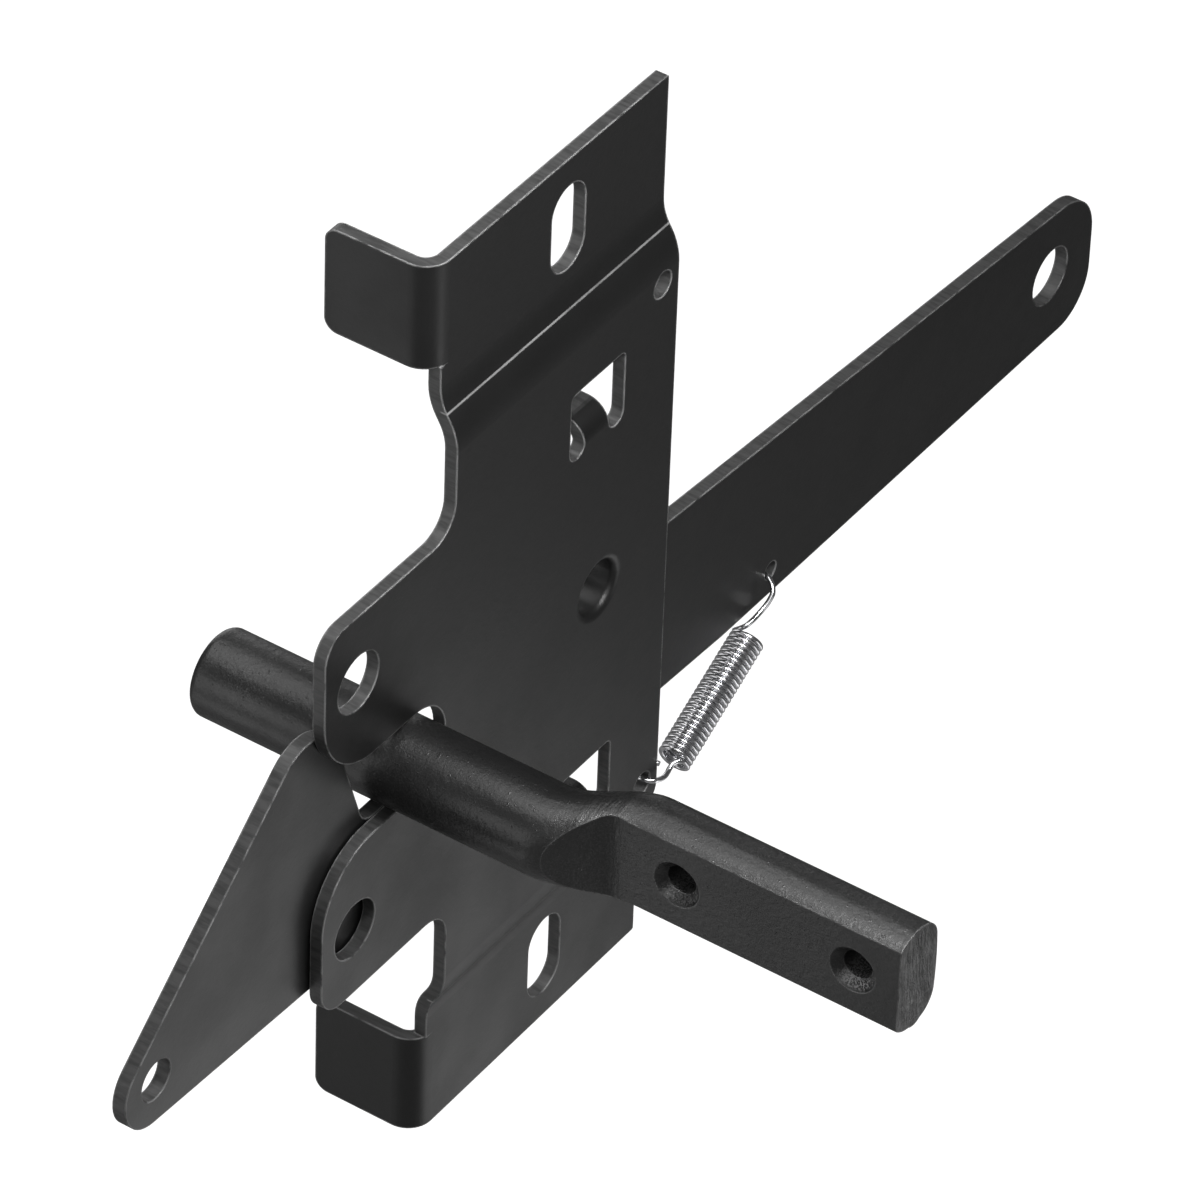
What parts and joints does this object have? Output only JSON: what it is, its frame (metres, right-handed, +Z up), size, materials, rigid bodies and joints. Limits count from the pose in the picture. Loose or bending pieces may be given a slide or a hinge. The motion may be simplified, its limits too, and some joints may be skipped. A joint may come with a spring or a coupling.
{
  "type": "gate latch",
  "caption": "Post-mounted self-closing gate latch: pressed back plate with a bar slot, a sprung latch lever with a hook and pull arm, and a round strike bar with a flat screw-on pad.",
  "frame": {"origin": "midway between the two mounting slots of the back plate, on the face of the post that the plate's flanges lie on", "axes": "+X across the plate towards the lever's pull arm, +Z up along the post, +Y into the post, so the front of the latch faces -Y"},
  "size_m": [0.2853, 0.1326, 0.184],
  "materials": {
    "plate_black": "satin black coating",
    "lever_black": "satin black coating",
    "bar_black": "semi-gloss black coating",
    "spring_zinc": "bright zinc"
  },
  "bodies": {
    "post_side": {"back_plate": "plate_black", "strike_bar": "bar_black", "return_spring": "spring_zinc"},
    "lever": {"latch_lever": "lever_black"}
  },
  "joints": [
    {"name": "lever_pivot", "type": "hinge", "parent": "post_side", "child": "lever", "pos_m": [0.0074, -0.0019, 0], "axis": [0, -1, 0], "range_deg": [0, 22], "stiffness_Nm_per_rad": 6.4, "springref_deg": -4.01, "deforming": ["return_spring"]}
  ]
}
